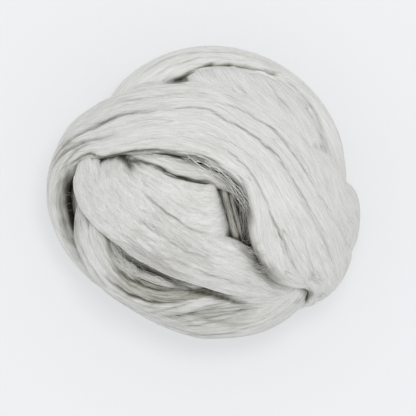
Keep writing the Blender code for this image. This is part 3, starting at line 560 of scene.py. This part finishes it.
def relief(u, v, length, closed, seed, locks, felt):
    """Height of locks, streaks and felted lumps over a band's smooth surface, mm."""

    def noise(name, at):
        long, wide = RELIEF[name]
        cells = max(2, round(length / long))
        own_seed = seed * 97 + list(RELIEF).index(name)
        return flow_noise(u / length * cells, at / wide + 40, own_seed, cells if closed else None)

    def valleys(value, width):
        return (1 - np.minimum(np.abs(value) / width, 1)) ** 1.6

    wander = v + 2.4 * noise("sway", v) + 0.8 * noise("drift", v)
    swell = 0.5 * noise("swell", wander) - 0.25
    lock = valleys(noise("lock", wander), 0.45) * ease(noise("lock_place", v), -0.5, 0.4)
    streak = valleys(noise("streak", wander), 0.6) * ease(noise("streak_place", v), -0.5, 0.5)
    split = valleys(noise("split", wander), 0.09) * ease(noise("split_place", v), 0.0, 0.4)
    lumps = 0.34 * noise("lump", v) + 0.13 * noise("small_lump", wander)
    return locks * (swell - 0.9 * lock - 0.35 * streak - 1.1 * split) + felt * (lumps - 0.2)


def section(power, width, thick, spacing):
    """A band's section: across and rise from -1 to 1, outward direction, mm along, fine count."""
    half = 2000
    turn = np.linspace(-math.pi, math.pi, 2 * half + 1)
    across = np.sign(np.sin(turn)) * np.abs(np.sin(turn)) ** (2 / power)
    rise = np.sign(np.cos(turn)) * np.abs(np.cos(turn)) ** (2 / power)
    x, z = across * width / 2, rise * thick / 2
    along = running(np.hypot(np.diff(x), np.diff(z)))
    along -= along[half]
    whole = 2 * along[-1]
    edge = along[np.argmax(rise > -0.55)]
    fine = np.linspace(edge, -edge, max(8, round(-2 * edge / spacing)))
    under = np.linspace(-edge, whole + edge, UNDER_POINTS + 2)[1:-1]
    at = np.concatenate([fine, under])

    def value(of, shift=0.0):
        return np.interp(at + shift, along, of, period=whole)

    reach = 0.2
    slope_x, slope_z = value(x, reach) - value(x, -reach), value(z, reach) - value(z, -reach)
    size = np.hypot(slope_x, slope_z) + 1e-9
    return value(across), value(rise), -slope_z / size, slope_x / size, at, len(fine)


def nearest_on(points, route):
    """Distance from each plan point to a route, and how far along it (0 to 1) the nearest place is."""
    best = np.full(len(points), 1e9)
    part = np.zeros(len(points))
    gaps = np.linalg.norm(np.diff(route, axis=0), axis=1)
    reach = running(gaps) / gaps.sum()
    for i, (start, end) in enumerate(zip(route[:-1], route[1:])):
        run = end - start
        t = np.clip((points - start) @ run / (run @ run), 0, 1)
        away = np.hypot(*(points - start - t[:, None] * run).T)
        closer = away < best
        best[closer] = away[closer]
        part[closer] = (reach[i] + t * (reach[i + 1] - reach[i]))[closer]
    return best, part


def splits_at(points, wrap):
    """Depth in mm and painted shade of the splits at points of a wrap's upper half."""
    flat = points.reshape(-1, 3)
    upper = np.nonzero(flat[:, 2] > SPLITS_ABOVE)[0]
    depth, dark = np.zeros(len(flat)), np.zeros(len(flat))
    for name, (deep, shade, wide, route) in SPLITS.items():
        if wrap in CLEAR.get(name, ()):
            continue
        route = np.array(route, float)
        smooth = spline(route, False, [SPLIT_STOPS] * (len(route) - 1))
        reach = 4 * wide
        low, high = smooth.min(axis=0) - reach, smooth.max(axis=0) + reach
        near = upper[np.all((flat[upper, :2] > low) & (flat[upper, :2] < high), axis=1)]
        if len(near) == 0:
            continue
        x, y = flat[near, 0], flat[near, 1]
        wobble = flow_noise(x / WANDER_SPAN, y / WANDER_SPAN, SEED) * WANDER
        away, part = nearest_on(flat[near, :2] + wobble[:, None], smooth)
        uneven = flow_noise(x / UNEVEN_SPAN, y / UNEVEN_SPAN, len(route))
        taper = np.sin(math.pi * np.clip(part, 0.02, 0.98)) ** 0.5 * np.clip(0.97 + 0.35 * uneven, 0, 1)
        cut = taper * np.exp(-(away / (wide * (1 + 0.3 * uneven))) ** 2)
        depth[near] = np.maximum(depth[near], deep * cut)
        dark[near] = np.maximum(dark[near], shade * cut)
    return depth.reshape(points.shape[:-1]), dark.reshape(points.shape[:-1])


def band_grid(name, seed):
    """A wrap's points, ring by ring, with fibre coordinates and the painted shade of its splits and valleys.
    """
    _, power, spacing, locks, felt, _, _ = FINISH[name]
    closed = name in CLOSED
    rows = np.array(WRAPS[name])
    units, sizes = rows[:, :3], rows[:, 3:]
    ends = np.roll(units, -1, axis=0) if closed else units[1:]
    steps = []
    for start, end in zip(units, ends):
        step = RING_STEP if (start[2] + end[2]) / 2 > LOW_SPAN else LOW_RING_STEP
        steps.append(max(2, round(np.linalg.norm(end - start) * OUTER_RADIUS / step)))
    path = unit(spline(units, closed, steps))
    width, lift, thick = spline(sizes, closed, steps).T
    if closed:
        ahead = np.roll(path, -1, axis=0) - np.roll(path, 1, axis=0)
    else:
        ahead = np.gradient(path, axis=0)
    aside = unit(np.cross(path, ahead))
    radii = CORE + lift[:, None]
    crest = path * radii
    gaps = np.linalg.norm(np.diff(crest, axis=0), axis=1)
    length = gaps.sum() + (np.linalg.norm(crest[0] - crest[-1]) if closed else 0)
    u = running(gaps)
    full_width, full_thick = np.percentile(width, 80), np.percentile(thick, 80)
    across, rise, out_x, out_z, v, fine = section(power, full_width, full_thick, spacing)
    grid_u, grid_v = np.broadcast_arrays(u[:, None], v[None, :])
    narrow = np.clip(width / full_width, 0.2, 1)[:, None]
    height = relief(grid_u, grid_v, length, closed, seed, locks * narrow, felt * np.sqrt(narrow))
    height = height * ease(rise, -0.6, 0.1)[None, :]
    cells = max(2, round(length / SWAY_SPAN))
    sway = SWAY * flow_noise(u / length * cells, 0 * u + 0.5, seed + 900, cells if closed else None)
    per_radian = np.linalg.norm(aside * radii, axis=1)

    def placed(height):
        offset = across[None, :] * width[:, None] / 2 + out_x[None, :] * height + sway[:, None]
        lifts = lift[:, None] + (rise[None, :] - 1) * thick[:, None] / 2 + out_z[None, :] * height
        angle = offset / per_radian[:, None]
        turned = path[:, None] * np.cos(angle)[..., None] + aside[:, None] * np.sin(angle)[..., None]
        return shell_points(turned, lifts)

    cut, dark = splits_at(placed(height), name)
    points = placed(height - cut * ease(rise, -0.4, 0.2)[None, :])
    points[..., 2] = np.maximum(points[..., 2], FLOOR_GAP)
    # Painted shade along the splits and down the valleys of the relief
    return {"points": points, "u": grid_u, "v": grid_v, "fine": fine, "closed": closed,
            "crease_shade": 1 - (1 - dark) * (1 - np.clip(-height / 4, 0, 0.5))}


def with_middles(points):
    """A grid's points and those halfway from ring to ring, in one list."""
    return np.concatenate([points.reshape(-1, 3), ((points[1:] + points[:-1]) / 2).reshape(-1, 3)])


def blurred(cells, sigma):
    """A solid of cells smoothed by a bell curve of sigma mm."""
    reach = int(3 * sigma / CELL)
    weights = np.exp(-0.5 * (np.arange(-reach, reach + 1) * CELL / sigma) ** 2)
    weights /= weights.sum()
    for axis in range(3):
        total = np.zeros_like(cells)
        for shift, weight in zip(range(-reach, reach + 1), weights):
            total += np.float32(weight) * np.roll(cells, shift, axis=axis)
        cells = total
    return cells


def values_at(field, at):
    """Values of a field of numbers or points at fractional places in it."""
    base = np.floor(at).astype(int)
    part = at - base
    total = 0
    for corner in np.ndindex((2,) * at.shape[-1]):
        weight = np.prod(np.where(corner, part, 1 - part), axis=-1)
        found = field[tuple(np.moveaxis(base + corner, -1, 0))]
        total = total + found * (weight if found.ndim == weight.ndim else weight[..., None])
    return total


def shade_hollows(grids):
    """Adds to each grid its painted shade, 0 to 1, from the wraps around its points and its splits."""
    cells = np.zeros((CELLS_SIZE / CELL).astype(int), np.float32)
    for grid in grids.values():
        points = with_middles(grid["points"])
        inward = unit(CENTRE - points)
        for depth in np.arange(*WOOL_DEPTH, CELL):
            at = ((points + inward * depth - CELLS_FROM) / CELL).astype(int)
            cells[at[:, 0], at[:, 1], at[:, 2]] = 1
    fields = [blurred(cells, reach) for reach, _, _, _ in SHADE_HOLLOWS]
    for name, grid in grids.items():
        shade_share = FINISH[name][-1]
        over = grid["points"] + 0.8 * unit(grid["points"] - CENTRE)
        at = (over - CELLS_FROM) / CELL - 0.5
        # Painted shade: the more wool crowds round a point, the darker it is painted
        light = 1
        for field, (_, low, high, strength) in zip(fields, SHADE_HOLLOWS):
            light = light * (1 - strength * ease(values_at(field, at), low, high))
        grid["hollow"] = 1 - (1 - shade_share * (1 - light)) * (1 - grid["crease_shade"])


def height_map(grids):
    """Highest point of the ball over each square mm of the plan."""
    heights = np.zeros((2 * PLAN_HALF, 2 * PLAN_HALF))
    for grid in grids.values():
        x, y, z = with_middles(grid["points"]).T
        np.maximum.at(heights, ((x + PLAN_HALF).astype(int), (y + PLAN_HALF).astype(int)), z)
    return heights


def add_object(name, data):
    """A new object in the scene."""
    obj = bpy.data.objects.new(name, data)
    bpy.context.scene.collection.objects.link(obj)
    return obj


def mesh_object(name, points, faces, uvs, shade):
    """A smooth-shaded mesh from arrays in mm, with fibre coordinates and the painted shade at each point."""
    mesh = bpy.data.meshes.new(name)
    points = np.asarray(points, np.float32).reshape(-1, 3) / 1000
    faces = np.asarray(faces, np.int32)
    mesh.vertices.add(len(points))
    mesh.vertices.foreach_set("co", points.ravel())
    mesh.loops.add(faces.size)
    mesh.loops.foreach_set("vertex_index", faces.ravel())
    mesh.polygons.add(len(faces))
    mesh.polygons.foreach_set("loop_start", np.arange(0, faces.size, faces.shape[1], dtype=np.int32))
    mesh.polygons.foreach_set("loop_total", np.full(len(faces), faces.shape[1], np.int32))
    mesh.update(calc_edges=True)
    layer = mesh.uv_layers.new(name="fibre")
    layer.data.foreach_set("uv", np.asarray(uvs, np.float32).ravel())
    hollow = mesh.attributes.new("hollow", "FLOAT", "POINT")
    hollow.data.foreach_set("value", np.asarray(shade, np.float32).ravel())
    mesh.validate()
    mesh.shade_smooth()
    return add_object(name, mesh)


def quads(ring, col, rings, cols):
    """Numbers of the corners (0, 0), (1, 0), (1, 1), (0, 1) of the quads in a grid of points."""
    after, beside = (ring + 1) % rings, (col + 1) % cols
    return np.stack([ring * cols + col, after * cols + col, after * cols + beside, ring * cols + beside], -1)


def quad_uvs(u0, u1, v0, v1):
    """Fibre coordinates in cm of quads with their corners in that order."""
    u0, u1, v0, v1 = np.broadcast_arrays(u0, u1, v0, v1)
    corners = [np.stack(pair, -1) for pair in ((u0, v0), (u1, v0), (u1, v1), (u0, v1))]
    return np.stack(corners, axis=-2) / 10


def core_object():
    """The inside of the ball, seen only down the deepest gaps, in full painted shade."""
    rings, cols, lift = 48, 96, 1.0
    up = np.linspace(-math.pi / 2, math.pi / 2, rings)[:, None]
    turn = np.linspace(0, 2 * math.pi, cols, endpoint=False)[None, :]
    units = np.broadcast_arrays(np.cos(up) * np.cos(turn), np.cos(up) * np.sin(turn), np.sin(up))
    points = shell_points(np.stack(units, axis=-1), np.full((rings, cols), lift))
    ring, col = np.arange(rings - 1)[:, None], np.arange(cols)[None, :]
    outward = (0, 3, 2, 1)
    faces = quads(ring, col, rings, cols)[..., outward].reshape(-1, 4)
    corner = points.reshape(-1, 3)[faces]
    uvs = np.stack([corner[..., 0] + corner[..., 1], corner[..., 2]], axis=-1) / 10
    return mesh_object("core", points, faces, uvs, np.ones(rings * cols))


def band_object(name, grid, seed):
    """A wrap's mesh, whose fibre coordinates lie apart from those of other wraps."""
    grid_u, grid_v, fine = grid["u"], grid["v"], grid["fine"]
    rings, cols = grid_u.shape
    spans = rings if grid["closed"] else rings - 1
    faces = quads(np.arange(spans)[:, None], np.arange(cols)[None, :], rings, cols).reshape(-1, 4)
    last_u = 2 * grid_u[-1, 0] - grid_u[-2, 0]
    next_u = np.append(grid_u[1:, 0], last_u)[:spans]
    around = np.concatenate([grid_v[0, :fine], grid_v[0, fine - 1] + 3.0 * np.arange(1, cols - fine + 2)])
    uvs = quad_uvs(grid_u[:spans, :1], next_u[:, None], around[:cols], around[1:])
    return mesh_object(name, grid["points"], faces, uvs + np.array((0, 40.0 * seed)), grid["hollow"])


def tubes(paths, radii, shades):
    """Tapering tubes along paths (fibres, points, 3), as arguments for mesh_object."""
    count, stops = paths.shape[:2]
    ahead = unit(np.gradient(paths, axis=1), 1e-9)
    flat = unit(np.cross(ahead, paths - CENTRE), 1e-9)
    rise = np.cross(flat, ahead)
    size = radii[:, None] * np.sin(np.linspace(0.12, math.pi - 0.12, stops))[None, :] ** 0.5
    corners = []
    for k in range(FIBRE_SIDES):
        turn = 2 * math.pi * k / FIBRE_SIDES + math.pi / 2
        corners.append(paths + size[..., None] * (math.cos(turn) * flat + math.sin(turn) * rise))
    points = np.stack(corners, axis=2)
    points[..., 2] = np.maximum(points[..., 2], FLOOR_GAP)
    fibre = np.arange(count)[:, None, None]
    stop = np.arange(stops - 1)[None, :, None]
    corner = np.arange(FIBRE_SIDES)[None, None, :]
    first = (fibre * stops * FIBRE_SIDES)[..., None]
    faces = (first + quads(stop, corner, stops, FIBRE_SIDES)).reshape(-1, 4)
    run = running(np.linalg.norm(np.diff(paths, axis=1), axis=2))
    v = fibre * 3.7 + 0.3 * corner
    uvs = quad_uvs(run[:, :-1, None], run[:, 1:, None], v, v + 0.3)
    return points, faces, uvs, np.repeat(shades.ravel(), FIBRE_SIDES)


def band_fibres(grid, felt, density, rng):
    """Loose fibres lying along a band, some lifting off it: paths, radii and the painted shade they take
    from it.
    """
    fine = grid["fine"]
    along, over = grid["u"][:, 0], grid["v"][0, :fine]
    reach = over[-1] - 1
    count = int(along[-1] * 2 * reach * density / 1000)
    if count == 0:
        return None
    long = rng.uniform(*FIBRE_LENGTH, count) * (1 - 0.55 * felt)
    start = rng.uniform(0, 1, count) * (along[-1] - long)
    middle = rng.uniform(-1, 1, count) * reach
    t = np.linspace(0, 1, FIBRE_STOPS)[None, :]
    lean = rng.normal(0, 0.04 + 0.22 * felt, count)
    wave = rng.normal(0, 0.4 + 0.5 * felt, count)
    phase = rng.uniform(0, 6.28, count)
    v = middle[:, None] + (lean * long)[:, None] * (t - 0.5) + wave[:, None] * np.sin(4 * t + phase[:, None])
    u = start[:, None] + long[:, None] * t
    row = np.clip(np.interp(u, along, np.arange(len(along))), 0, len(along) - 1.001)
    col = np.clip(np.interp(np.clip(v, -reach, reach), over, np.arange(fine)), 0, fine - 1.001)
    at = np.stack([row, col], axis=-1)
    found, shades = values_at(grid["points"], at), values_at(grid["hollow"], at)
    rise = 0.02 + 0.26 * rng.random(count) ** 3
    loose = rng.random(count) < 0.04 + 0.04 * felt
    rise = np.where(loose, rng.uniform(*FIBRE_OFF, count), rise)
    off = rise[:, None] * np.sin(math.pi * t) ** 0.7
    found = found + unit(found - CENTRE) * off[..., None]
    # Fibres take a stronger share of the painted shade where it is deep
    return found, rng.uniform(*FIBRE_RADIUS, count), 0.35 * shades + 0.65 * shades ** 2


def stray_fibres(row, heights, rng):
    """Loose fibres from one place to another, resting on what lies between: paths, radii, painted shades."""
    count, x0, y0, x1, y1, spread, bow, curl, thick, shade = row
    t = np.linspace(0, 1, STRAY_STOPS)[None, :]
    start = np.array((x0, y0)) + rng.normal(0, spread * 0.6, (count, 2))
    end = np.array((x1, y1)) + rng.normal(0, spread * 0.6, (count, 2))
    flat = start[:, None] * (1 - t[..., None]) + end[:, None] * t[..., None]
    run = end - start
    aside = np.stack([-run[:, 1], run[:, 0]], axis=1)
    bend = rng.normal(0, 1.2, count)[:, None] * np.sin(math.pi * t)
    turns = rng.uniform(1.0, 3.0, count)[:, None]
    phase = rng.uniform(0, 6.28, count)[:, None]
    size = curl * rng.uniform(0.3, 1.0, count)[:, None]
    swing = 2 * math.pi * turns * t + phase
    flat = flat + unit(aside)[:, None] * (bend + size * np.sin(swing))[..., None]
    flat = flat + unit(run)[:, None] * (size * np.cos(swing))[..., None]
    cell = np.clip((flat + PLAN_HALF).astype(int), 0, 2 * PLAN_HALF - 1)
    ground = heights[cell[..., 0], cell[..., 1]]
    ends = ground[:, :1] * (1 - t) + ground[:, -1:] * t
    lift = bow * rng.uniform(0.1, 1.0, count)[:, None] * np.sin(math.pi * t)
    height = np.maximum(ends + lift, ground + 0.15)
    weights = np.array((1, 2, 3, 2, 1)) / 9
    padded = np.pad(height, ((0, 0), (2, 2)), mode="edge")
    smooth = sum(w * padded[:, k:k + STRAY_STOPS] for k, w in enumerate(weights))
    shades = np.full((count, STRAY_STOPS), shade)
    return np.concatenate([flat, smooth[..., None]], axis=2), rng.uniform(0.5, 1, count) * thick, shades


def wool_material(name, light, dark, felt, shade_tint):
    """Wool with threads along its fibres, and painted shade that sinks its colour to a warm dark grey down
    the hollows.
    """
    material = bpy.data.materials.new(name)
    material.use_nodes = True
    nodes, links = material.node_tree.nodes, material.node_tree.links

    def fill(slot, value):
        """Gives a node's input a number or a colour, or links an output to it."""
        if isinstance(value, bpy.types.NodeSocket):
            links.new(value, slot)
        elif slot.type == "RGBA":
            slot.default_value = (*value, 1)
        else:
            slot.default_value = value

    def add(kind, output, inputs, **settings):
        """One output of a new node, whose inputs are numbers, colours or outputs."""
        node = nodes.new("ShaderNode" + kind)
        for setting, value in settings.items():
            setattr(node, setting, value)
        for slot, value in inputs.items():
            fill(node.inputs[slot], value)
        return node.outputs[output]

    def noise(source, scale_u, scale_v, turn, detail):
        """Noise with so many patches a cm along and across the fibres, turned by some degrees."""
        turned, scaled = (0, 0, math.radians(turn)), (1 / scale_u, 1 / scale_v, 1)
        stretch = {"Vector": source, "Rotation": turned, "Scale": scaled}
        stretched = add("Mapping", "Vector", stretch, vector_type="TEXTURE")
        inputs = {"Vector": stretched, "Scale": 1, "Detail": detail, "Roughness": 0.65}
        return add("TexNoise", "Fac", inputs, noise_dimensions="2D")

    def mix(kind, factor, a, b):
        return add("Mix", 2, {0: factor, 6: a, 7: b}, data_type="RGBA", blend_type=kind)

    def ramp(value, low, high, start=0.0, end=1.0):
        inputs = {"Value": value, "From Min": low, "From Max": high, "To Min": start, "To Max": end}
        return add("MapRange", "Result", inputs, interpolation_type="SMOOTHSTEP")

    def threads(value, width, strength):
        """Thin lines where a noise passes its middle value."""
        shift = add("Math", 0, {0: value, 1: 0.5}, operation="SUBTRACT")
        return ramp(add("Math", 0, {0: shift}, operation="ABSOLUTE"), 0, width, strength, 0)

    def times(colour, *shares):
        """A colour with its parts scaled, but none over 0.9."""
        return tuple(min(share * part, 0.9) for share, part in zip(shares, colour))

    place = add("UVMap", "UV", {}, uv_map="fibre")
    crimp = add("TexNoise", "Color", {"Vector": place, "Scale": 1.7}, noise_dimensions="2D")
    crimping = {0: crimp, 1: (0, 0.12 + 0.12 * felt, 0), 2: place}
    waved = add("VectorMath", "Vector", crimping, operation="MULTIPLY_ADD")
    lean = 4 + 15 * felt
    fine = noise(waved, 0.8 + 1.4 * felt, 11, 0, 3)
    fuzz = noise(place, 11, 15, 0, 2)
    pale = threads(noise(waved, 0.4 + felt, 6, lean, 1), 0.07, 0.36)
    grey = threads(noise(waved, 0.35 + felt, 5.5, -lean, 1), 0.06, 0.28)
    line = threads(noise(waved, 0.10, 1.2, 0, 0), 0.016, 0.55 - 0.4 * felt)
    dashes = noise(waved, 0.7, 4, 0, 2)
    streak = noise(waved, 0.3 + 0.3 * felt, 2.6, 0, 2)
    broad = noise(place, 0.35, 0.9, 0, 2)
    tone = mix("MIX", ramp(fine, 0.36, 0.64), dark, light)
    tone = mix("MIX", grey, tone, times(dark, 0.8, 0.8, 0.8))
    tone = mix("MIX", line, tone, times(dark, 0.56, 0.54, 0.48))
    tone = mix("MIX", pale, tone, times(light, 1.08, 1.08, 1.08))
    tone = mix("MULTIPLY", ramp(fuzz, 0.35, 0.62, 1, 0), tone, (0.94, 0.94, 0.935))
    tone = mix("MULTIPLY", ramp(streak, 0.38, 0.56, 1, 0), tone, (0.97, 0.968, 0.96))
    tone = mix("MULTIPLY", ramp(broad, 0.35, 0.65, 1, 0), tone, (0.97, 0.97, 0.965))
    # Painted shade, darker and browner from west to east
    if shade_tint:
        east = add("SeparateXYZ", "X", {0: add("TexCoord", "Object", {})})
        tone = mix("MULTIPLY", ramp(east, *SHADE_TINT_SPAN), tone, shade_tint)
    # Painted shade: the shade attribute, broken up by dashes, turns the wool tan and then near black
    hollow = add("Attribute", "Fac", {}, attribute_name="hollow")
    broken_shade = add("Math", 0, {0: hollow, 1: ramp(dashes, 0.3, 0.65, 1.5, 0.8)}, operation="POWER")
    tone = mix("MULTIPLY", broken_shade, tone, SHADE_TAN)
    surface = {
        "Base Color": mix("MULTIPLY", broken_shade, tone, SHADE_DEEP),
        "Normal": add("Bump", "Normal", {"Strength": 0.4, "Distance": 0.0004, "Height": fine}),
        "Roughness": 0.85,
        "Specular IOR Level": 0.1,
        "Sheen Weight": 0.05,
        "Sheen Roughness": 0.5,
    }
    for slot, value in surface.items():
        fill(nodes["Principled BSDF"].inputs[slot], value)
    return material


def add_table():
    """Plain white table, faintly lit from inside like a product photographer's."""
    material = bpy.data.materials.new("floor")
    material.use_nodes = True
    inputs = material.node_tree.nodes["Principled BSDF"].inputs
    inputs["Base Color"].default_value = (0.45, 0.455, 0.463, 1)
    inputs["Roughness"].default_value = 0.9
    inputs["Specular IOR Level"].default_value = 0.0
    inputs["Emission Color"].default_value = (0.985, 0.99, 1.0, 1)
    inputs["Emission Strength"].default_value = 0.38
    mesh = bpy.data.meshes.new("floor")
    mesh.from_pydata([(-3, -3, 0), (3, -3, 0), (3, 3, 0), (-3, 3, 0)], [], [(0, 1, 2, 3)])
    mesh.materials.append(material)
    add_object("floor", mesh)


def add_camera():
    """Straight above, with the picture's right along +X and its top along +Y."""
    height, wide = 2.0, 0.2163
    data = bpy.data.cameras.new("camera")
    data.sensor_width = 36
    data.lens = data.sensor_width * height / wide
    data.clip_end = 20
    camera = add_object("camera", data)
    camera.location = BALL_MIDDLE + Vector((0.00286, -0.00806, height))
    bpy.context.scene.camera = camera


def add_lights():
    """A white sky all round, and a soft key light above and a little to the north-east."""
    world = bpy.data.worlds.new("studio")
    world.use_nodes = True
    sky = world.node_tree.nodes["Background"]
    sky.inputs["Color"].default_value = (0.99, 0.995, 1.0, 1)
    sky.inputs["Strength"].default_value = 0.93
    bpy.context.scene.world = world
    bpy.context.scene.view_settings.view_transform = "Standard"
    data = bpy.data.lights.new("key", "AREA")
    data.size = 0.25
    data.energy = 5.2
    data.color = (1.0, 0.99, 0.97)
    key = add_object("key", data)
    key.location = (0.09, 0.16, 1.5)
    key.rotation_euler = (BALL_MIDDLE - key.location).to_track_quat("-Z", "Y").to_euler()


def dress(piece, material):
    """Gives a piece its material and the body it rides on."""
    piece.data.materials.append(material)
    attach(piece, "root")


add_camera()
add_lights()
add_table()
wools = {name: wool_material(name, *wool) for name, wool in WOOLS.items()}
rng = np.random.default_rng(SEED)
grids = {name: band_grid(name, seed) for seed, name in enumerate(WRAPS, 1)}
shade_hollows(grids)
heights = height_map(grids)

core = core_object()
dress(core, wools["shaded_inner_wool"])
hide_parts("roving_ball")
for seed, (name, grid) in enumerate(grids.items(), 1):
    wool, _, _, _, felt, density, _ = FINISH[name]
    dress(band_object(name, grid, seed), wools[wool])
    fibres = band_fibres(grid, felt, density, rng)
    if fibres:
        dress(mesh_object(name + "_fibres", *tubes(*fibres)), wools["lit_loose_fibre"])
for name, row in STRAYS.items():
    dress(mesh_object(name + "_strays", *tubes(*stray_fibres(row, heights, rng))), wools["lit_loose_fibre"])
